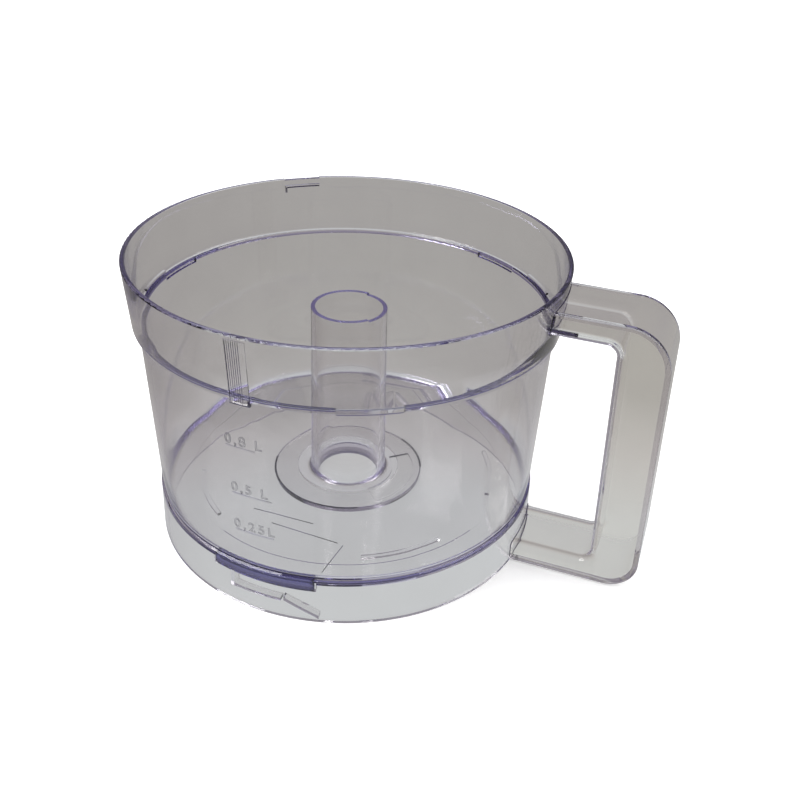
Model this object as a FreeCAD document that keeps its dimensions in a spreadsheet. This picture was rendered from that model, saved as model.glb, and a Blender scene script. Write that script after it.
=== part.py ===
import FreeCAD, Part
import Sketcher
import math
import os

# Work bowl of a compact food processor, in millimetres.
# +Z is up along the bowl's axis, z = 0 is the foot that stands on the motor base,
# and the handle points along +X.

V = FreeCAD.Vector
TINY = 1e-3
SHORT_EDGE = 1.0                            # edges shorter than this stay unrounded
HORIZONTAL_AXIS, VERTICAL_AXIS = -1, -2     # a sketch's own axes, as its constraints number them
doc = FreeCAD.newDocument("processor_bowl")
dims = doc.addObject("Spreadsheet::Sheet", "dims")

DIMENSIONS = {
    # bowl shell, radii and heights
    "rim_radius": 80.0,
    "rim_height": 111.5,
    "rim_wall": 1.8,
    "band_radius": 78.4,
    "band_inner": 76.4,
    "band_base": 88.6,
    "shelf_height": 89.2,
    "shelf_inner": 74.0,
    "wall_top_radius": 76.2,
    "wall_top_height": 87.2,
    "wall_foot_radius": 73.8,
    "wall_foot_inner": 71.9,
    "skirt_top_radius": 74.5,
    "skirt_top_height": 18.4,
    "skirt_step": 0.5,
    "skirt_foot_radius": 75.0,
    "skirt_wall": 1.9,
    "floor_height": 17.8,
    "floor_under": 15.8,
    "floor_step": 0.2,
    "floor_step_radius": 63.0,
    "floor_fillet": 2.6,
    "hub_hole": 20.4,
    "edge_round": 0.5,
    # how far an added piece bites into the wall it stands on, and a cutter runs past the surface
    "bite": 0.8,
    "cut_over": 1.0,
    "cut_far": 5.0,
    # lid fittings on the rim band
    "notch_width": 16.0,
    "notch_depth": 2.1,
    "notch_edge": 1.3,
    "notch_first": -62.0,
    "lid_rib_height": 0.9,
    "lid_rib_depth": 0.9,
    "lid_rib_width": 14.0,
    "left_rib_angle": -169.0,
    "right_rib_angle": 36.0,
    "index_angle": 128.2,
    "index_width": 11.0,
    "index_dip": 0.5,
    "index_rib_height": 108.1,
    "index_rib_size": 0.8,
    "index_rib_reach": 1.2,
    "index_leg_height": 2.2,
    "index_leg_width": 0.5,
    "pad_angle": -92.0,
    "pad_width": 5.2,
    "pad_drop": 1.2,
    "pad_proud": 0.35,
    "pad_proud_top": 0.12,
    "pad_clear": 1.4,
    # capacity marks on the outside of the wall
    "mark_proud": 0.2,
    "mark_thick": 0.45,
    "mark_angle": -92.1,
    "mark_width": 11.2,
    "mark_quarter": 33.8,
    "mark_half": 49.6,
    "mark_full": 68.8,
    "mark_full_angle": -94.3,
    "mark_full_width": 8.3,
    # underside: stiffening ribs and the bayonet catches inside the skirt
    "arc_rib_radius": 58.3,
    "arc_rib_wall": 1.6,
    "arc_rib_height": 1.0,
    "arc_rib_width": 30.0,
    "arc_rib_front": -47.3,
    "arc_rib_left": -137.7,
    "arc_rib_right": 17.6,
    "catch_reach": 2.6,
    "catch_first": -91.3,
    "catch_width": 31.5,
    "catch_base": 12.6,
    "catch_stop": 9.3,
    "catch_stop_width": 1.2,
    "catch_shelf_low": 6.0,
    "catch_shelf_thick": 1.3,
    "catch_shelf_width": 15.0,
    "ramp_angle": 11.5,
    "ramp_low": 0.3,
    "ramp_high": 8.0,
    "ramp_run": 12.5,
    "ramp_thick": 1.5,
    # drive tube with its flange
    "bore_radius": 12.7,
    "tube_top_radius": 14.3,
    "tube_foot_radius": 15.0,
    "tube_height": 87.4,
    "tube_fillet": 2.0,
    "flange_radius": 29.6,
    "flange_thick": 1.8,
    "sector_inner": 18.0,
    "sector_outer": 26.6,
    "sector_width": 85.0,
    "sector_depth": 0.8,
    "tube_step": 0.6,
    "tube_step_width": 118.0,
    "tube_step_angle": 22.0,
    "fit_gap": 0.08,
    # handle
    "handle_half": 14.2,
    "handle_top": 106.2,
    "handle_base": 0.6,
    "arm_under": 96.9,
    "arm_foot": 8.6,
    "grip_in_top": 100.0,
    "grip_in_foot": 103.0,
    "grip_out_top": 118.0,
    "grip_out_foot": 121.2,
    "handle_wall": 1.8,
    "cover_thick": 2.0,
    "top_corner": 16.0,
    "foot_corner": 11.6,
    "inner_corner": 4.0,
    "finger_round": 4.4,
    "handle_start": 60.0,
}
for row, (alias, size) in enumerate(DIMENSIONS.items(), start=1):
    dims.set("A%d" % row, alias)
    dims.set("B%d" % row, str(size))
    dims.setAlias("B%d" % row, alias)
doc.recompute()


def number(expression):
    """The present value of an expression on the sheet's aliases."""
    value = dims.evalExpression(expression)
    return float(getattr(value, "Value", value))


def new_sketch(body, name, angle="0", offset="0"):
    """A sketch on the body's own upright plane, turned about Z by angle and moved out by offset."""
    sketch = body.newObject("Sketcher::SketchObject", name)
    plane = [item for item in body.Origin.OriginFeatures if item.Role == "XZ_Plane"][0]
    sketch.AttachmentSupport = [(plane, "")]
    sketch.MapMode = "FlatFace"
    turn = FreeCAD.Rotation(V(0, 1, 0), number(angle))
    sketch.AttachmentOffset = FreeCAD.Placement(turn.multVec(V(0, 0, number(offset))), turn)
    if angle != "0":
        sketch.setExpression(".AttachmentOffset.Rotation.Angle", angle)
    return sketch


def outline(sketch, corners):
    """A closed outline whose corners are pairs of expressions from the sketch's origin."""
    points = [V(number(x), number(y), 0) for x, y in corners]
    first = sketch.GeometryCount
    count = len(points)
    for index in range(count):
        sketch.addGeometry(Part.LineSegment(points[index], points[(index + 1) % count]), False)
    for index in range(count):
        line = first + index
        following = first + (index + 1) % count
        sketch.addConstraint(Sketcher.Constraint("Coincident", line, 2, following, 1))
        x, y = corners[index]
        for kind, expression, axis in (("DistanceX", x, VERTICAL_AXIS), ("DistanceY", y, HORIZONTAL_AXIS)):
            size = number(expression)
            if abs(size) < TINY:
                sketch.addConstraint(Sketcher.Constraint("PointOnObject", line, 1, axis))
                continue
            place = sketch.addConstraint(Sketcher.Constraint(kind, HORIZONTAL_AXIS, 1, line, 1, size))
            sketch.setExpression("Constraints[%d]" % place, expression)


def spin(body, kind, name, sketch, angle="360", middle=False):
    """A revolution or groove of a sketch about its own vertical axis."""
    feature = body.newObject("PartDesign::" + kind, name)
    feature.Profile = sketch
    feature.ReferenceAxis = (sketch, ["V_Axis"])
    feature.Angle = number(angle)
    if angle != "360":
        feature.setExpression("Angle", angle)
    feature.Midplane = middle
    doc.recompute()
    return feature


def ring_piece(body, kind, name, angle, width, corners):
    """An arc-shaped piece added to the body or cut from it, centred on angle."""
    sketch = new_sketch(body, name + "_section", angle=angle)
    outline(sketch, corners)
    return spin(body, kind, name, sketch, width, middle=True)


def box_section(low_x, high_x, low_z, high_z):
    """The four corners of an upright rectangle."""
    return [(low_x, low_z), (high_x, low_z), (high_x, high_z), (low_x, high_z)]


def around(body, name, originals, count):
    """The same features a number of times, evenly about the body's axis."""
    pattern = body.newObject("PartDesign::PolarPattern", name)
    pattern.Originals = originals
    axis = [item for item in body.Origin.OriginFeatures if item.Role == "Z_Axis"][0]
    pattern.Axis = (axis, [""])
    pattern.Angle = 360
    pattern.Occurrences = count
    body.Tip = pattern
    doc.recompute()


def round_edges(body, name, base, radius, wanted):
    """A fillet on those edges of the base feature that the test accepts."""
    names = ["Edge%d" % (index + 1) for index, edge in enumerate(base.Shape.Edges) if wanted(edge)]
    feature = body.newObject("PartDesign::Fillet", name)
    feature.Base = (base, names)
    feature.Radius = number(radius)
    feature.setExpression("Radius", radius)
    doc.recompute()
    return feature


def circle_at(radius, height):
    """A test for a full or part circle about Z with this radius and height."""
    def wanted(edge):
        curve = edge.Curve
        if not isinstance(curve, Part.Circle):
            return False
        on_axis = math.hypot(curve.Center.x, curve.Center.y) < TINY
        return on_axis and abs(curve.Radius - radius) < TINY and abs(curve.Center.z - height) < TINY
    return wanted


def new_body(name):
    """An empty body whose label names its file."""
    body = doc.addObject("PartDesign::Body", name)
    body.Label = name
    return body


def wall_radius(height):
    """The outside radius of the bowl's tapered wall at a height, as an expression."""
    slope = "(dims.wall_top_radius - dims.wall_foot_radius) / (dims.wall_top_height - dims.skirt_top_height)"
    return "dims.wall_foot_radius + (%s - dims.skirt_top_height) * %s" % (height, slope)


# ---- bowl body: rim band, lid shelf, tapered wall, floor and skirt in one moulding
bowl = new_body("bowl_body")
shell_section = new_sketch(bowl, "shell_section")
outline(shell_section, [
    ("dims.skirt_foot_radius", "0"),
    ("dims.skirt_top_radius", "dims.skirt_top_height"),
    ("dims.wall_foot_radius", "dims.skirt_top_height + dims.skirt_step"),
    ("dims.wall_top_radius", "dims.wall_top_height"),
    ("dims.band_radius", "dims.band_base"),
    ("dims.rim_radius", "dims.rim_height"),
    ("dims.rim_radius - dims.rim_wall", "dims.rim_height"),
    ("dims.band_inner", "dims.shelf_height"),
    ("dims.shelf_inner", "dims.shelf_height"),
    ("dims.wall_foot_inner", "dims.floor_height"),
    ("dims.hub_hole", "dims.floor_height"),
    ("dims.hub_hole", "dims.floor_under"),
    ("dims.floor_step_radius", "dims.floor_under"),
    ("dims.floor_step_radius", "dims.floor_under - dims.floor_step"),
    ("dims.skirt_top_radius - dims.skirt_wall", "dims.floor_under - dims.floor_step"),
    ("dims.skirt_foot_radius - dims.skirt_wall", "0"),
])
shell = spin(bowl, "Revolution", "shell", shell_section)
floor_root = round_edges(bowl, "floor_root", shell, "dims.floor_fillet",
                         circle_at(number("dims.wall_foot_inner"), number("dims.floor_height")))
SOFT_EDGES = [
    ("dims.rim_radius", "dims.rim_height"),
    ("dims.rim_radius - dims.rim_wall", "dims.rim_height"),
    ("dims.band_radius", "dims.band_base"),
    ("dims.band_inner", "dims.shelf_height"),
    ("dims.shelf_inner", "dims.shelf_height"),
]
tests = [circle_at(number(radius), number(height)) for radius, height in SOFT_EDGES]
soft = round_edges(bowl, "soft_edges", floor_root, "dims.edge_round",
                   lambda edge: any(test(edge) for test in tests))

# three lid notches, stepped down into the shelf
notch = ring_piece(bowl, "Groove", "lid_notch", "dims.notch_first", "dims.notch_width",
                   box_section("dims.shelf_inner - dims.cut_over", "dims.band_inner - dims.notch_edge",
                               "dims.shelf_height - dims.notch_depth", "dims.shelf_height + dims.cut_over"))
around(bowl, "lid_notches", [notch], 3)

# two low ribs in the corner between the shelf and the band
for name, angle in (("left_rib", "dims.left_rib_angle"), ("right_rib", "dims.right_rib_angle")):
    ring_piece(bowl, "Revolution", name, angle, "dims.lid_rib_width",
               box_section("dims.band_inner - dims.lid_rib_depth", "dims.band_inner + dims.bite",
                           "dims.shelf_height - dims.bite", "dims.shelf_height + dims.lid_rib_height"))

# index mark for the lid: a dip in the rim with an angled rib below it
rib_inside = "dims.rim_radius - dims.rim_wall - dims.index_rib_reach"
rib_outside = "dims.rim_radius - dims.bite"
ring_piece(bowl, "Groove", "index_dip", "dims.index_angle", "dims.index_width",
           box_section("dims.rim_radius - dims.rim_wall - dims.cut_over", "dims.rim_radius + dims.cut_over",
                       "dims.rim_height - dims.index_dip", "dims.rim_height + dims.cut_over"))
ring_piece(bowl, "Revolution", "index_rib", "dims.index_angle", "dims.index_width",
           box_section(rib_inside, rib_outside,
                       "dims.index_rib_height", "dims.index_rib_height + dims.index_rib_size"))
ring_piece(bowl, "Revolution", "index_leg",
           "dims.index_angle + dims.index_width / 2 - dims.index_leg_width / 2", "dims.index_leg_width",
           box_section(rib_inside, rib_outside, "dims.index_rib_height - dims.index_leg_height",
                       "dims.index_rib_height + dims.index_rib_size / 2"))

# finger pad on the outside of the band
ring_piece(bowl, "Revolution", "finger_pad", "dims.pad_angle", "dims.pad_width", [
    ("dims.band_radius - dims.bite", "dims.band_base - dims.pad_drop"),
    ("dims.band_radius + dims.pad_proud", "dims.band_base - dims.pad_drop"),
    ("dims.rim_radius + dims.pad_proud_top", "dims.rim_height - dims.pad_clear"),
    ("dims.rim_radius - dims.bite", "dims.rim_height - dims.pad_clear"),
])

# capacity marks
for name, angle, width in (("mark_quarter", "dims.mark_angle", "dims.mark_width"),
                           ("mark_half", "dims.mark_angle", "dims.mark_width"),
                           ("mark_full", "dims.mark_full_angle", "dims.mark_full_width")):
    level = "dims." + name
    surface = wall_radius(level)
    ring_piece(bowl, "Revolution", name, angle, width,
               box_section(surface + " - dims.bite", surface + " + dims.mark_proud",
                           level + " - dims.mark_thick / 2", level + " + dims.mark_thick / 2"))

# curved stiffening ribs under the floor
for side in ("front", "left", "right"):
    ring_piece(bowl, "Revolution", "arc_rib_" + side, "dims.arc_rib_" + side, "dims.arc_rib_width",
               box_section("dims.arc_rib_radius - dims.arc_rib_wall / 2",
                           "dims.arc_rib_radius + dims.arc_rib_wall / 2",
                           "dims.floor_under - dims.arc_rib_height", "dims.floor_under + dims.bite"))

# two bayonet catches inside the skirt, opposite each other: a block under the floor, a stop, a shelf and
# a ramp
inside = "dims.skirt_top_radius - dims.skirt_wall - dims.catch_reach"
outside = "dims.skirt_top_radius - dims.bite"
catch = []
catch.append(ring_piece(bowl, "Revolution", "catch_block", "dims.catch_first", "dims.catch_width",
                        box_section(inside, outside, "dims.catch_base", "dims.floor_under + dims.bite")))
catch.append(ring_piece(bowl, "Revolution", "catch_stop", "dims.catch_first - dims.catch_stop",
                        "dims.catch_stop_width",
                        box_section(inside, outside, "dims.catch_shelf_low", "dims.catch_base + dims.bite")))
catch.append(ring_piece(bowl, "Revolution", "catch_shelf",
                        "dims.catch_first - dims.catch_stop + dims.catch_shelf_width / 2",
                        "dims.catch_shelf_width",
                        box_section(inside, outside, "dims.catch_shelf_low",
                                    "dims.catch_shelf_low + dims.catch_shelf_thick")))
ramp_section = new_sketch(bowl, "catch_ramp_section", angle="dims.catch_first + dims.ramp_angle + 90",
                          offset=inside)
outline(ramp_section, [
    ("-dims.ramp_run / 2", "dims.ramp_high - dims.ramp_thick"),
    ("dims.ramp_run / 2", "dims.ramp_low"),
    ("dims.ramp_run / 2", "dims.ramp_low + dims.ramp_thick"),
    ("-dims.ramp_run / 2", "dims.ramp_high"),
])
ramp = bowl.newObject("PartDesign::Pad", "catch_ramp")
ramp.Profile = ramp_section
ramp.Length = number("dims.catch_reach + dims.bite")
ramp.setExpression("Length", "dims.catch_reach + dims.bite")
doc.recompute()
catch.append(ramp)
around(bowl, "catches", catch, 2)

# ---- drive tube: the blade spindle passes up its bore; its flange is welded under the floor
tube = new_body("drive_tube")
tube_section = new_sketch(tube, "tube_section")
flange_top = "dims.floor_under - dims.fit_gap"
flange_under = flange_top + " - dims.flange_thick"
outline(tube_section, [
    ("dims.bore_radius", flange_under),
    ("dims.flange_radius", flange_under),
    ("dims.flange_radius", flange_top),
    ("dims.hub_hole - dims.fit_gap", flange_top),
    ("dims.hub_hole - dims.fit_gap", "dims.floor_height"),
    ("dims.tube_foot_radius", "dims.floor_height"),
    ("dims.tube_top_radius", "dims.tube_height"),
    ("dims.bore_radius", "dims.tube_height"),
])
tube_turned = spin(tube, "Revolution", "tube_turned", tube_section)
round_edges(tube, "tube_root", tube_turned, "dims.tube_fillet",
            circle_at(number("dims.tube_foot_radius"), number("dims.floor_height")))
ring_piece(tube, "Groove", "flange_sector", "0", "dims.sector_width",
           box_section("dims.sector_inner", "dims.sector_outer",
                       flange_under + " - dims.cut_over", flange_under + " + dims.sector_depth"))
ring_piece(tube, "Groove", "top_step", "dims.tube_step_angle", "dims.tube_step_width",
           box_section("dims.bore_radius - dims.cut_over", "dims.tube_top_radius + dims.cut_over",
                       "dims.tube_height - dims.tube_step", "dims.tube_height + dims.cut_over"))


# ---- handle: a channel with its walls on the finger side, front and back, and a cover strip between
# the front and back walls that closes its open outer side
def handle_pad(body, kind, name, corners, width):
    """A pad or pocket of an outline in the handle's own plane, half of the width to each side."""
    sketch = new_sketch(body, name + "_section")
    outline(sketch, corners)
    feature = body.newObject("PartDesign::" + kind, name)
    feature.Profile = sketch
    feature.Midplane = True
    feature.Length = number(width)
    feature.setExpression("Length", width)
    doc.recompute()
    return feature


def outer_path(depth="0"):
    """The two corners of the handle's outer outline, moved inwards by depth."""
    return [("dims.grip_out_top - " + depth, "dims.handle_top - " + depth),
            ("dims.grip_out_foot - " + depth, "dims.handle_base + " + depth)]


def finger_path(depth="0"):
    """The two corners of the finger opening's outline, moved into the handle by depth."""
    return [("dims.grip_in_foot + " + depth, "dims.arm_foot - " + depth),
            ("dims.grip_in_top + " + depth, "dims.arm_under + " + depth)]


def loop(outside, inner):
    """A D-shaped loop from the bowl, round an outer outline and back round an inner one."""
    (top_x, top_z), (foot_x, foot_z) = outside
    (in_foot_x, in_foot_z), (in_top_x, in_top_z) = inner
    start = "dims.handle_start"
    return [(start, top_z), (top_x, top_z), (foot_x, foot_z), (start, foot_z),
            (start, in_foot_z), (in_foot_x, in_foot_z), (in_top_x, in_top_z), (start, in_top_z)]


def cross_edge(x_expression, z_expression):
    """A test for an edge that runs across the handle at this place."""
    x, z = number(x_expression), number(z_expression)
    reach = number("dims.fit_gap")

    def wanted(edge):
        ends = [vertex.Point for vertex in edge.Vertexes]
        if len(ends) != 2 or abs(ends[0].y - ends[1].y) < number("dims.handle_wall"):
            return False
        return all(math.hypot(end.x - x, end.z - z) < reach for end in ends)
    return wanted


def side_edge(half_width, depth, outer):
    """A test for the edges of the two faces at half_width that run along one outline of the handle."""
    half = number(half_width)
    high_x, low_z = (number(value) for value in finger_path(depth)[0])
    high_z = number(finger_path(depth)[1][1])

    def wanted(edge):
        box = edge.BoundBox
        if abs(abs(box.Center.y) - half) > TINY or box.YLength > TINY or box.DiagonalLength < SHORT_EDGE:
            return False
        by_fingers = box.XMax < high_x + TINY and box.ZMin > low_z - TINY and box.ZMax < high_z + TINY
        at_start = box.XMax < number("dims.handle_start") + TINY
        return not by_fingers and not at_start if outer else by_fingers
    return wanted


def round_outline(body, name, base, corners, radii):
    """Fillets on the edges that run across the handle, one feature for each radius."""
    feature = base
    for index, (corner, radius) in enumerate(zip(corners, radii)):
        feature = round_edges(body, "%s_%d" % (name, index + 1), feature, radius, cross_edge(*corner))
    return feature


def fit_to_bowl(body, name):
    """Cuts the handle's ends to the bowl's outside, a fit gap clear of it."""
    sketch = new_sketch(body, name + "_section")
    outline(sketch, [
        ("0", "-dims.cut_far"),
        ("dims.skirt_foot_radius + dims.fit_gap", "-dims.cut_far"),
        ("dims.skirt_foot_radius + dims.fit_gap", "0"),
        ("dims.skirt_top_radius + dims.fit_gap", "dims.skirt_top_height"),
        ("dims.wall_top_radius + dims.fit_gap", "dims.wall_top_height"),
        ("dims.band_radius + dims.fit_gap", "dims.band_base"),
        ("dims.rim_radius + dims.fit_gap", "dims.rim_height"),
        ("0", "dims.rim_height"),
    ])
    return spin(body, "Groove", name, sketch)


channel = new_body("handle_channel")
channel_pad = handle_pad(channel, "Pad", "channel", loop(outer_path(), finger_path()), "2 * dims.handle_half")
channel_round = round_outline(channel, "channel_corner", channel_pad, outer_path() + finger_path(),
                              ["dims.top_corner", "dims.foot_corner"] + ["dims.inner_corner"] * 2)
finger_soft = round_edges(channel, "finger_side", channel_round, "dims.finger_round",
                          side_edge("dims.handle_half", "0", outer=False))
outer_soft = round_edges(channel, "outer_side", finger_soft, "dims.edge_round",
                         side_edge("dims.handle_half", "0", outer=True))
hollow = handle_pad(channel, "Pocket", "hollow",
                    loop(outer_path("(-dims.cut_far)"), finger_path("dims.handle_wall")),
                    "2 * (dims.handle_half - dims.handle_wall)")
hollow_round = round_outline(channel, "hollow_corner", hollow, finger_path("dims.handle_wall"),
                             ["dims.inner_corner + dims.handle_wall"] * 2)
round_edges(channel, "hollow_side", hollow_round, "dims.finger_round - dims.handle_wall",
            side_edge("dims.handle_half - dims.handle_wall", "dims.handle_wall", outer=False))
fit_to_bowl(channel, "channel_ends")

cover = new_body("handle_cover")
cover_inside = outer_path("dims.cover_thick")
cover_pad = handle_pad(cover, "Pad", "strip", loop(outer_path(), cover_inside[::-1]),
                       "2 * (dims.handle_half - dims.handle_wall - dims.fit_gap)")
cover_round = round_outline(
    cover, "cover_corner", cover_pad, cover_inside + outer_path(),
    ["dims.top_corner - dims.cover_thick", "dims.foot_corner - dims.cover_thick",
     "dims.top_corner", "dims.foot_corner"])
fit_to_bowl(cover, "cover_ends")

doc.recompute()
for item in doc.Objects:
    if "Invalid" in item.State or "Error" in item.State:
        raise RuntimeError("%s is %s" % (item.Name, item.State))

os.makedirs("parts", exist_ok=True)
for body in (bowl, tube, channel, cover):
    shape = body.Shape
    if shape.isNull() or not shape.isValid() or len(shape.Solids) != 1:
        raise RuntimeError(body.Label + " is not one sound solid")
    shape.exportStep("parts/%s.step" % body.Label)
    box = shape.optimalBoundingBox(False)
    print("%-15s volume %9.1f  x %.2f..%.2f  y %.2f..%.2f  z %.2f..%.2f"
          % (body.Label, shape.Volume, box.XMin, box.XMax, box.YMin, box.YMax, box.ZMin, box.ZMax))
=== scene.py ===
import math

import bmesh
import bpy
from mathutils import Matrix, Vector
from mathutils.bvhtree import BVHTree


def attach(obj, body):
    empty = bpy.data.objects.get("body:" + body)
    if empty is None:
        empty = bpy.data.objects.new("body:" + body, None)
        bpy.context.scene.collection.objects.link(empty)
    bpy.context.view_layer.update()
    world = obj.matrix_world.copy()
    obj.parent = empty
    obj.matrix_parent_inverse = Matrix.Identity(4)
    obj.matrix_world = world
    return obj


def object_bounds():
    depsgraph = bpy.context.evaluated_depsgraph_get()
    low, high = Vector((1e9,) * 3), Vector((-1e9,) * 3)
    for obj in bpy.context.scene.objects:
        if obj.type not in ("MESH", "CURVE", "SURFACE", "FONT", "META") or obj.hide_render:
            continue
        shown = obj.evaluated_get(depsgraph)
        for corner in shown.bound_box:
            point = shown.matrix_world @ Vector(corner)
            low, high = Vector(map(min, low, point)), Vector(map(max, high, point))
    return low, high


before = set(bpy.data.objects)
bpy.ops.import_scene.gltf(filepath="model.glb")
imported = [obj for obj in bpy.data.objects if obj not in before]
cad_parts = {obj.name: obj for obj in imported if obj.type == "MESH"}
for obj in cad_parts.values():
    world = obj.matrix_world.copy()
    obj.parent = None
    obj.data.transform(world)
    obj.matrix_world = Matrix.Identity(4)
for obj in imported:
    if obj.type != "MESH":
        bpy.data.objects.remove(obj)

MM = 0.001
CAD_LOW, CAD_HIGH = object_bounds()
CENTRE = (CAD_LOW + CAD_HIGH) / 2
Z_UP = Vector((0, 0, 1))
WELD_DISTANCE = 1e-6
FAR = 0.2  # metres from the axis, well outside the bowl, where the rays that look for its surface start

# Camera: angles in degrees, distance in metres, the point it aims at in mm from the middle of the CAD box
CAMERA_AZIMUTH, CAMERA_ELEVATION, CAMERA_ROLL = 19.23, 31.08, 2.33
CAMERA_DISTANCE, CAMERA_LENS, CAMERA_CLIP = 0.350, 41.8, 0.01
CAMERA_AIM = (3.4, -6.6, 0.2)

# Material slot of each CAD node
SLOTS = {"bowl_body": "clear_bowl", "drive_tube": "clear_tube",
         "handle_channel": "clear_handle", "handle_cover": "clear_handle"}

# Plastic of each slot: name, tint, colour in its depth, density of that colour
MOULDINGS = {"clear_bowl": ("bowl_plastic", (0.95, 0.945, 0.925), (0.32, 0.25, 0.62), 32),
             "clear_tube": ("tube_plastic", (0.98, 0.975, 0.96), (0.32, 0.25, 0.62), 24),
             "clear_handle": ("handle_plastic", (0.985, 0.975, 0.945), (0.40, 0.34, 0.60), 14)}
SCUFF_SCALE, SCUFF_DETAIL, SCUFF_ROUGHNESS, SCUFF_SHADE = 60, 5, 0.05, 0.97
WAVE_SCALE, WAVE_DETAIL, WAVE_STRENGTH, WAVE_DEPTH = 14, 1, 0.05, 0.0006
SHARP_ANGLE = 35  # degrees: edges sharper than this stay sharp

# Height of the floor's underside, and radius of the flange under it (mm)
FLOOR_UNDER = 15.8
FLANGE_RADIUS = 29.6

# Capacity marks on the wall: text, letter spacing, height of the level line (mm), angle where the text starts
CAPACITY = (("0,25L", 1.36, 33.8, -98.2), ("0,5 L", 1.30, 49.6, -98.0), ("0,8 L", 1.30, 68.8, -98.6))
DIGIT_SIZE, DIGIT_LINE, DIGIT_LIFT = 5.3, 0.22, 0.9

# Finger pad on the rim band: angle of its first rib and step to the next (degrees), and number of ribs
PAD_FIRST, PAD_STEP, PAD_RIBS = -94.3, 0.54, 7
# Its ribs: lowest and highest point, depth of their middle under the surface (mm), and points along each
PAD_LOW, PAD_HIGH, PAD_INSET, PAD_PARTS = 88.4, 109.8, 0.1, 8
# Its foot: angle (degrees) and heights (mm)
PAD_FOOT_ANGLE, PAD_FOOT = -89.6, (88.0, 88.8, 89.6)

# Joints between the handle and the bowl: lowest and highest point of each end, half its width and the
# radius of its corners (mm), parts of a corner, and spacing of the points between the corners (mm)
HANDLE_ENDS = ((97.1, 106.0), (0.8, 8.4))
HANDLE_HALF, HANDLE_ROUND = 14.0, 2.0
CORNER_PARTS, OUTLINE_STEP = 4, 2

# Stretches where the joint round the flange shows thick: first and last angle (degrees)
FLANGE_THICK = ((-168, -60), (20, 62))

# Angles between which the lid notch at the front steps the shelf down, and between which the front
# bayonet catch thickens the skirt's top (degrees)
NOTCH = (-70, -54)
CATCH = (-106.5, -76.0)

# Painted shade: violet arcs inside the plastic, where the real plastic looks dark from light running along
# inside it: name, radii and heights (mm), angles (degrees), parts along the arc.
# The left one crosses the back left notch too (170 to 186 degrees), where it stands clear of the plastic.
SHELF_LIP = ((74.15, 74.9), (88.4, 89.1))
EDGES = (("skirt_edge", (73.3, 74.1), (17.2, 18.1), (CATCH[1], 10), 60),
         ("shelf_edge_left", *SHELF_LIP, (-200, NOTCH[0]), 80),
         ("shelf_edge_right", *SHELF_LIP, (NOTCH[1], 20), 60),
         ("notch_edge", (74.1, 74.8), (86.3, 87.0), NOTCH, 16))
# Painted shade where the front bayonet catch thickens the skirt, a darker violet block: name, radii and heights
# (mm), angles (degrees), parts along the arc
CATCH_SHADE = ("catch_core", (70.6, 73.2), (13.0, 17.2), CATCH, 16)
EDGE_ROUND = 0.15

# Painted shade: a dark mark inside the rim at the back, where the real rib looks dark. Its radius (mm), heights
# of its upright end (mm), angles of its level part
INDEX_RADIUS, INDEX_UPRIGHT, INDEX_ANGLES = 77.1, (106.2, 107.2, 108.2), (133.4, 122.9)

# Painted shade: a dark mark at the handle's root, where the real plastic looks dark. It runs down the bowl (y,
# heights), then out along the handle (distances, y, height)
ROOT_DOWN_Y, ROOT_DOWN = -13.7, (105.2, 103.4, 101.6, 100.0)
ROOT_OUT, ROOT_OUT_Y, ROOT_OUT_HEIGHT = (81.5, 84.5, 87.0), -13.4, 99.8

# Fine moulded lines under the floor, from one point to the other (mm)
FLOOR_LINES = (((-11.0, -46.6), (16.4, -48.0)),
               ((18.7, -48.6), (17.9, -64.8)),
               ((-21.0, -41.4), (3.5, -41.2)))
# Thin circle under the floor: radius and drop (mm), first and last angle (degrees)
CIRCLE_RADIUS, CIRCLE_DROP, CIRCLE_ANGLES = 62.7, 0.2, (-113, -21)

# Widths of the round beads (mm)
BEAD_WIDTH = {"pad_edge": 0.38, "pad_ribs": 0.24, "pad_foot": 0.7, "weld_top": 0.55, "weld_foot": 0.55,
              "flange_weld": 0.35, "flange_weld_thick": 0.75, "index_rib_shade": 0.55, "handle_root_shade": 1.6,
              "floor_lines": 0.35}
BEAD_SIDES = 8

# Studio floor: width and gap under the bowl (m), grey, glow
GROUND_SIZE, GROUND_GAP, GROUND_GREY, GROUND_GLOW = 40, 0.0002, 0.9, 0.35

# Tent: radius (m), its colours by height from foot to top, and what they are multiplied by from left to right
TENT_RADIUS = 3
TENT_HEIGHTS = ((0.06, (0.68, 0.71, 0.72)), (0.155, (0.62, 0.64, 0.645)), (0.20, (0.63, 0.65, 0.655)),
                (0.235, (0.57, 0.56, 0.555)), (0.265, (0.455, 0.445, 0.43)), (0.33, (0.42, 0.41, 0.395)),
                (0.44, (0.40, 0.385, 0.385)), (0.58, (0.32, 0.30, 0.35)))
TENT_SIDES = ((0.06, (0.76, 0.73, 0.73)), (0.22, (0.93, 0.92, 0.92)), (0.30, (1, 1, 1)))

# Lights: name, place and width (m), power (W)
LIGHTS = (("key", (-0.5, -0.4, 0.9), 0.5, 6), ("fill", (0.7, 0.3, 0.8), 0.8, 4))
BOUNCES = 48  # light caught in the thick plastic comes out black with fewer


# ---- camera
def add_camera():
    """A camera above and in front of the bowl, a little to its right and slightly rolled."""
    azimuth, elevation = math.radians(CAMERA_AZIMUTH), math.radians(CAMERA_ELEVATION)
    aim = CENTRE + Vector(CAMERA_AIM) * MM
    back = Vector((math.sin(azimuth) * math.cos(elevation),
                   -math.cos(azimuth) * math.cos(elevation),
                   math.sin(elevation)))
    camera = bpy.data.objects.new("camera", bpy.data.cameras.new("camera"))
    bpy.context.scene.collection.objects.link(camera)
    turn = (-back).to_track_quat("-Z", "Y").to_matrix().to_4x4()
    roll = Matrix.Rotation(math.radians(CAMERA_ROLL), 4, "Z")
    camera.matrix_world = Matrix.Translation(aim + back * CAMERA_DISTANCE) @ turn @ roll
    camera.data.lens = CAMERA_LENS
    camera.data.clip_start = CAMERA_CLIP
    bpy.context.scene.camera = camera


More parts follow.
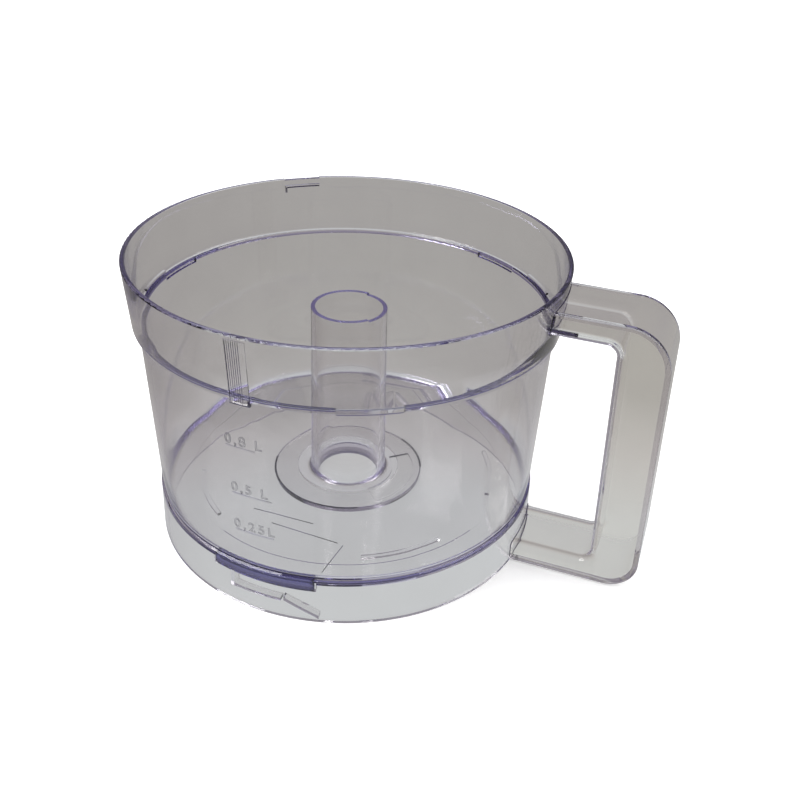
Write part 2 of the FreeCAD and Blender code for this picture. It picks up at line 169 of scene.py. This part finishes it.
# ---- materials
def clear_plastic(name, tint, depth_colour=(1, 1, 1), density=0, roughness=0.02, clear=1, shine=0.5):
    """Clear moulded plastic: refracting, faintly wavy, with fine scuffs, and coloured in its depth if dense."""
    material = bpy.data.materials.new(name)
    material.use_nodes = True
    tree = material.node_tree
    nodes, links = tree.nodes, tree.links
    shader = nodes["Principled BSDF"]
    shader.inputs["Transmission Weight"].default_value = clear
    shader.inputs["Specular IOR Level"].default_value = shine
    shader.inputs["IOR"].default_value = 1.5
    place = nodes.new("ShaderNodeTexCoord")

    scuffs = nodes.new("ShaderNodeTexNoise")
    scuffs.inputs["Scale"].default_value = SCUFF_SCALE
    scuffs.inputs["Detail"].default_value = SCUFF_DETAIL
    links.new(place.outputs["Object"], scuffs.inputs["Vector"])
    haze = nodes.new("ShaderNodeMapRange")
    haze.inputs["From Min"].default_value = 0.5
    haze.inputs["From Max"].default_value = 0.8
    haze.inputs["To Min"].default_value = roughness
    haze.inputs["To Max"].default_value = roughness + SCUFF_ROUGHNESS
    links.new(scuffs.outputs["Fac"], haze.inputs["Value"])
    links.new(haze.outputs["Result"], shader.inputs["Roughness"])
    shade = nodes.new("ShaderNodeValToRGB")
    plain, scuffed = shade.color_ramp.elements
    plain.position = 0.35
    plain.color = (*tint, 1)
    scuffed.position = 0.75
    scuffed.color = (*(SCUFF_SHADE * value for value in tint), 1)
    links.new(scuffs.outputs["Fac"], shade.inputs["Fac"])
    links.new(shade.outputs["Color"], shader.inputs["Base Color"])

    waves = nodes.new("ShaderNodeTexNoise")
    waves.inputs["Scale"].default_value = WAVE_SCALE
    waves.inputs["Detail"].default_value = WAVE_DETAIL
    links.new(place.outputs["Object"], waves.inputs["Vector"])
    bump = nodes.new("ShaderNodeBump")
    bump.inputs["Strength"].default_value = WAVE_STRENGTH
    bump.inputs["Distance"].default_value = WAVE_DEPTH
    links.new(waves.outputs["Fac"], bump.inputs["Height"])
    links.new(bump.outputs["Normal"], shader.inputs["Normal"])

    if density:
        volume = nodes.new("ShaderNodeVolumeAbsorption")
        volume.inputs["Color"].default_value = (*depth_colour, 1)
        volume.inputs["Density"].default_value = density
        links.new(volume.outputs["Volume"], nodes["Material Output"].inputs["Volume"])
    return material


def smoothing():
    """Geometry nodes that shade smooth and keep sharp edges sharp."""
    group = bpy.data.node_groups.new("smooth_by_angle", "GeometryNodeTree")
    group.interface.new_socket("Geometry", in_out="INPUT", socket_type="NodeSocketGeometry")
    group.interface.new_socket("Geometry", in_out="OUTPUT", socket_type="NodeSocketGeometry")
    start = group.nodes.new("NodeGroupInput")
    end = group.nodes.new("NodeGroupOutput")
    merge = group.nodes.new("GeometryNodeMergeByDistance")
    merge.inputs["Distance"].default_value = WELD_DISTANCE
    edge_angle = group.nodes.new("GeometryNodeInputMeshEdgeAngle")
    compare = group.nodes.new("FunctionNodeCompare")
    compare.operation = "LESS_EQUAL"
    compare.inputs["B"].default_value = math.radians(SHARP_ANGLE)
    faces = group.nodes.new("GeometryNodeSetShadeSmooth")
    edges = group.nodes.new("GeometryNodeSetShadeSmooth")
    edges.domain = "EDGE"
    group.links.new(start.outputs[0], merge.inputs["Geometry"])
    group.links.new(merge.outputs["Geometry"], faces.inputs["Geometry"])
    group.links.new(faces.outputs["Geometry"], edges.inputs["Geometry"])
    group.links.new(edge_angle.outputs["Unsigned Angle"], compare.inputs["A"])
    group.links.new(compare.outputs["Result"], edges.inputs["Shade Smooth"])
    group.links.new(edges.outputs["Geometry"], end.inputs[0])
    return group


def dress():
    """Gives each CAD node its plastic and smooth shading."""
    plastics = {slot: clear_plastic(*look) for slot, look in MOULDINGS.items()}
    smooth = smoothing()
    for name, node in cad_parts.items():
        slot = SLOTS[name]
        node.data.materials.clear()
        node.data.materials.append(plastics[slot])
        node.modifiers.new("smooth", "NODES").node_group = smooth


# ---- places on the bowl
def surface_of(name):
    """A search tree over a CAD node's surface."""
    mesh = bmesh.new()
    mesh.from_mesh(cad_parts[name].data)
    tree = BVHTree.FromBMesh(mesh)
    mesh.free()
    return tree


def outwards(angle):
    """The level direction away from the bowl's axis at an angle in degrees."""
    turn = math.radians(angle)
    return Vector((math.cos(turn), math.sin(turn), 0))


def about_axis(radius, angle, height):
    """The point at a radius (mm), an angle (degrees) and a height (mm) about the bowl's axis."""
    return outwards(angle) * radius * MM + Z_UP * height * MM


def on_wall(tree, angle, height):
    """The point of the bowl's outer surface at an angle (degrees) and a height (mm)."""
    way = outwards(angle)
    return tree.ray_cast(way * FAR + Z_UP * height * MM, -way)[0]


def on_handle_side(tree, y, height):
    """The point of the bowl's outer surface that lies straight behind a point of the handle's end (mm)."""
    return tree.ray_cast(Vector((FAR, y * MM, height * MM)), Vector((-1, 0, 0)))[0]


def arc(radius, height, first, last, step=2):
    """Points along a level arc about the bowl's axis, about a step apart (degrees)."""
    count = max(2, round(abs(last - first) / step))
    return [about_axis(radius, first + (last - first) * index / count, height) for index in range(count + 1)]


def handle_end(tree, low, high):
    """The outline of the handle's end on the bowl's surface, a rounded rectangle bent round the bowl."""
    corners = ((HANDLE_HALF - HANDLE_ROUND, high - HANDLE_ROUND, 0),
               (-HANDLE_HALF + HANDLE_ROUND, high - HANDLE_ROUND, 90),
               (-HANDLE_HALF + HANDLE_ROUND, low + HANDLE_ROUND, 180),
               (HANDLE_HALF - HANDLE_ROUND, low + HANDLE_ROUND, 270))
    points = []
    for across, up, first in corners:
        for step in range(CORNER_PARTS + 1):
            turn = math.radians(first + 90 / CORNER_PARTS * step)
            points.append((across + HANDLE_ROUND * math.cos(turn), up + HANDLE_ROUND * math.sin(turn)))
    outline = []
    for (y, z), (next_y, next_z) in zip(points, points[1:] + points[:1]):
        parts = max(1, round(math.hypot(next_y - y, next_z - z) / OUTLINE_STEP))
        for step in range(parts):
            across = y + (next_y - y) * step / parts
            height = z + (next_z - z) * step / parts
            outline.append(on_handle_side(tree, across, height))
    return outline + outline[:1]


# ---- small pieces in and on the plastic
def finish_piece(name, mesh, material):
    """Turns a bmesh into a named piece that rides with the bowl."""
    bmesh.ops.recalc_face_normals(mesh, faces=mesh.faces)
    data = bpy.data.meshes.new(name)
    mesh.to_mesh(data)
    mesh.free()
    piece = bpy.data.objects.new(name, data)
    bpy.context.scene.collection.objects.link(piece)
    data.materials.append(material)
    for polygon in data.polygons:
        polygon.use_smooth = True
    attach(piece, "root")


def close_tube(mesh, rings, closed):
    """Joins rings of vertices into a tube, with its ends capped unless it closes on itself."""
    corners = len(rings[0])
    pairs = list(zip(rings, rings[1:])) + ([(rings[-1], rings[0])] if closed else [])
    for near, far in pairs:
        for corner in range(corners):
            following = (corner + 1) % corners
            mesh.faces.new((near[corner], near[following], far[following], far[corner]))
    if not closed:
        mesh.faces.new(rings[0])
        mesh.faces.new(rings[-1][::-1])


def beads(name, lines, material, away=None):
    """Fine round beads along lines of points: away is their upward direction, or else it is radial."""
    width = BEAD_WIDTH[name]
    mesh = bmesh.new()
    for points in lines:
        closed = (points[0] - points[-1]).length < 0.01 * MM
        if closed:
            points = points[:-1]
        count = len(points)
        rings = []
        for index, point in enumerate(points):
            if closed:
                ahead = points[(index + 1) % count] - points[index - 1]
            else:
                ahead = points[min(index + 1, count - 1)] - points[max(index - 1, 0)]
            ahead.normalize()
            up = away if away is not None else Vector((point.x, point.y, 0))
            up = (up - ahead * up.dot(ahead)).normalized()
            side = ahead.cross(up)
            turns = (2 * math.pi * step / BEAD_SIDES for step in range(BEAD_SIDES))
            rings.append([mesh.verts.new(point + (up * math.sin(turn) + side * math.cos(turn)) * width * MM / 2)
                          for turn in turns])
        close_tube(mesh, rings, closed)
    finish_piece(name, mesh, material)


def ring_piece(name, radii, heights, angles, steps, material):
    """An arc of rectangular section about the bowl's axis, with its edges taken off."""
    mesh = bmesh.new()
    rings = []
    for index in range(steps + 1):
        angle = angles[0] + (angles[1] - angles[0]) * index / steps
        rings.append([mesh.verts.new(about_axis(radii[side], angle, heights[level]))
                      for side, level in ((0, 0), (1, 0), (1, 1), (0, 1))])
    close_tube(mesh, rings, closed=False)
    bmesh.ops.bevel(mesh, geom=mesh.edges, offset=EDGE_ROUND * MM, segments=1, affect="EDGES")
    finish_piece(name, mesh, material)


def numeral(text, spacing, level, start, tree, material):
    """A capacity number, raised along its outlines, that follows the wall and stands on its level line."""
    curve = bpy.data.curves.new("numeral", "FONT")
    curve.body = text
    curve.size = DIGIT_SIZE * MM
    curve.space_character = spacing
    curve.fill_mode = "NONE"
    curve.bevel_depth = DIGIT_LINE / 2 * MM
    curve.bevel_resolution = 1
    source = bpy.data.objects.new("numeral", curve)
    bpy.context.scene.collection.objects.link(source)
    flat = bpy.data.meshes.new_from_object(source.evaluated_get(bpy.context.evaluated_depsgraph_get()))
    bpy.data.objects.remove(source)
    mesh = bmesh.new()
    mesh.from_mesh(flat)
    bpy.data.meshes.remove(flat)
    bmesh.ops.remove_doubles(mesh, verts=mesh.verts, dist=WELD_DISTANCE)
    radius = on_wall(tree, start, level + DIGIT_LIFT).xy.length
    for vertex in mesh.verts:
        along, up, out = vertex.co
        angle = start + math.degrees(along / radius)
        vertex.co = on_wall(tree, angle, level + DIGIT_LIFT + up / MM) + outwards(angle) * out
    finish_piece("number_" + text.replace(",", "_").replace(" ", "_"), mesh, material)


def add_pad(tree, dark, seam):
    """The finger pad's upright ribs, the first one thicker, and the dark spot at its foot."""
    heights = [PAD_LOW + (PAD_HIGH - PAD_LOW) * step / PAD_PARTS for step in range(PAD_PARTS + 1)]
    ribs = []
    for rib in range(PAD_RIBS):
        angle = PAD_FIRST + PAD_STEP * rib
        ribs.append([on_wall(tree, angle, height) - outwards(angle) * PAD_INSET * MM for height in heights])
    beads("pad_edge", ribs[:1], dark)
    beads("pad_ribs", ribs[1:], seam)
    beads("pad_foot", [[on_wall(tree, PAD_FOOT_ANGLE, height) for height in PAD_FOOT]], dark)


def add_welds(tree, dark, seam):
    """The joints at the handle's two ends and round the tube's flange."""
    for place, (low, high) in zip(("top", "foot"), HANDLE_ENDS):
        beads("weld_" + place, [handle_end(tree, low, high)], dark)
    beads("flange_weld", [arc(FLANGE_RADIUS, FLOOR_UNDER, -180, 180, 4)], seam, Z_UP)
    thick = [arc(FLANGE_RADIUS, FLOOR_UNDER, first, last) for first, last in FLANGE_THICK]
    beads("flange_weld_thick", thick, dark, Z_UP)


def add_marks(tree, dark):
    """Painted shade: dark marks inside the rim and at the handle's root, where the real plastic looks dark."""
    level = arc(INDEX_RADIUS, INDEX_UPRIGHT[-1], *INDEX_ANGLES)
    upright = [about_axis(INDEX_RADIUS, INDEX_ANGLES[0], height) for height in INDEX_UPRIGHT]
    beads("index_rib_shade", [level, upright], dark)
    root = [on_handle_side(tree, ROOT_DOWN_Y, height) for height in ROOT_DOWN]
    root += [Vector((x, ROOT_OUT_Y, ROOT_OUT_HEIGHT)) * MM for x in ROOT_OUT]
    beads("handle_root_shade", [root], dark)


def add_floor_lines(seam):
    """The fine lines and the thin circle moulded under the floor."""
    lines = [[Vector((x, y, FLOOR_UNDER)) * MM for x, y in line] for line in FLOOR_LINES]
    lines.append(arc(CIRCLE_RADIUS, FLOOR_UNDER - CIRCLE_DROP, *CIRCLE_ANGLES))
    beads("floor_lines", lines, seam, Z_UP)


def add_details():
    """What is too fine for the CAD, and slivers of darker plastic that paint in the shade where the real one
    looks dark.
    """
    tree = surface_of("bowl_body")
    # The numbers' raised outlines are real; their dull dark grey is painted shade, as the real ones are the
    # same clear plastic
    raised = clear_plastic("numeral_painted_shade_plastic", (0.15, 0.15, 0.17), roughness=0.5, clear=0.3, shine=0.15)
    seam = clear_plastic("seam_plastic", (0.34, 0.30, 0.46), roughness=0.12)
    # dark is for the real dark joints, and also paints the shade of the marks inside the rim and at the
    # handle's root
    dark = clear_plastic("dark_seam_and_painted_shade_plastic", (0.10, 0.08, 0.17), roughness=0.12)
    # Painted shade: violet and edge are darker violet plastic for the slivers where the real plastic looks dark
    # from light running along inside it
    violet = clear_plastic("catch_painted_shade_plastic", (0.20, 0.19, 0.42), roughness=0.06)
    edge = clear_plastic("edge_painted_shade_plastic", (0.36, 0.34, 0.62), roughness=0.06)
    for text, spacing, level, start in CAPACITY:
        numeral(text, spacing, level, start, tree, raised)
    add_pad(tree, dark, seam)
    add_welds(tree, dark, seam)
    for ring in EDGES:
        ring_piece(*ring, edge)
    ring_piece(*CATCH_SHADE, violet)
    add_marks(tree, dark)
    add_floor_lines(seam)


# ---- studio
def add_floor():
    """A plain pale floor that glows a little, so that shadows on it stay faint. Glass doesn't show it."""
    material = bpy.data.materials.new("floor")
    material.use_nodes = True
    shader = material.node_tree.nodes["Principled BSDF"]
    shader.inputs["Base Color"].default_value = (GROUND_GREY, GROUND_GREY, GROUND_GREY, 1)
    shader.inputs["Roughness"].default_value = 0.9
    shader.inputs["Emission Color"].default_value = (1, 1, 1, 1)
    shader.inputs["Emission Strength"].default_value = GROUND_GLOW
    bpy.ops.mesh.primitive_plane_add(size=GROUND_SIZE, location=(0, 0, CAD_LOW.z - GROUND_GAP))
    floor = bpy.context.object
    floor.name = "floor"
    floor.data.materials.append(material)
    floor.visible_transmission = False
    floor.visible_glossy = False


def set_ramp(ramp, stops):
    """Gives a colour ramp its places and colours."""
    while len(ramp.elements) < len(stops):
        ramp.elements.new(0.5)
    for element, (position, colour) in zip(ramp.elements, stops):
        element.position = position
        element.color = (*colour, 1)


def add_tent():
    """A grey photographer's tent round the bowl that shows only through and in the plastic."""
    material = bpy.data.materials.new("tent")
    material.use_nodes = True
    nodes, links = material.node_tree.nodes, material.node_tree.links
    nodes.remove(nodes["Principled BSDF"])
    glow = nodes.new("ShaderNodeEmission")
    place = nodes.new("ShaderNodeTexCoord")
    split = nodes.new("ShaderNodeSeparateXYZ")
    height = nodes.new("ShaderNodeValToRGB")
    links.new(place.outputs["Generated"], split.inputs["Vector"])
    links.new(split.outputs["Z"], height.inputs["Fac"])
    side = nodes.new("ShaderNodeValToRGB")
    links.new(split.outputs["X"], side.inputs["Fac"])
    shade = nodes.new("ShaderNodeVectorMath")
    shade.operation = "MULTIPLY"
    links.new(height.outputs["Color"], shade.inputs[0])
    links.new(side.outputs["Color"], shade.inputs[1])
    links.new(shade.outputs["Vector"], glow.inputs["Color"])
    links.new(glow.outputs["Emission"], nodes["Material Output"].inputs["Surface"])
    set_ramp(height.color_ramp, TENT_HEIGHTS)
    set_ramp(side.color_ramp, TENT_SIDES)
    material.cycles.emission_sampling = "NONE"
    bpy.ops.mesh.primitive_uv_sphere_add(segments=48, ring_count=24, radius=TENT_RADIUS)
    tent = bpy.context.object
    tent.name = "tent"
    tent.data.materials.append(material)
    tent.visible_camera = False
    tent.visible_diffuse = False
    tent.visible_shadow = False


def add_lights():
    """A white sky and two soft lights."""
    scene = bpy.context.scene
    scene.world = bpy.data.worlds.new("sky")
    scene.world.use_nodes = True
    background = scene.world.node_tree.nodes["Background"]
    background.inputs["Color"].default_value = (1, 1, 1, 1)
    background.inputs["Strength"].default_value = 1
    for name, place, size, power in LIGHTS:
        light = bpy.data.lights.new(name, "AREA")
        light.size = size
        light.energy = power
        lamp = bpy.data.objects.new(name, light)
        lamp.location = Vector(place)
        lamp.rotation_euler = (CENTRE - lamp.location).to_track_quat("-Z", "Y").to_euler()
        scene.collection.objects.link(lamp)
    scene.view_settings.view_transform = "Standard"
    scene.cycles.max_bounces = BOUNCES
    scene.cycles.transmission_bounces = BOUNCES
    scene.cycles.glossy_bounces = BOUNCES


add_camera()
dress()
add_details()
add_floor()
add_tent()
add_lights()
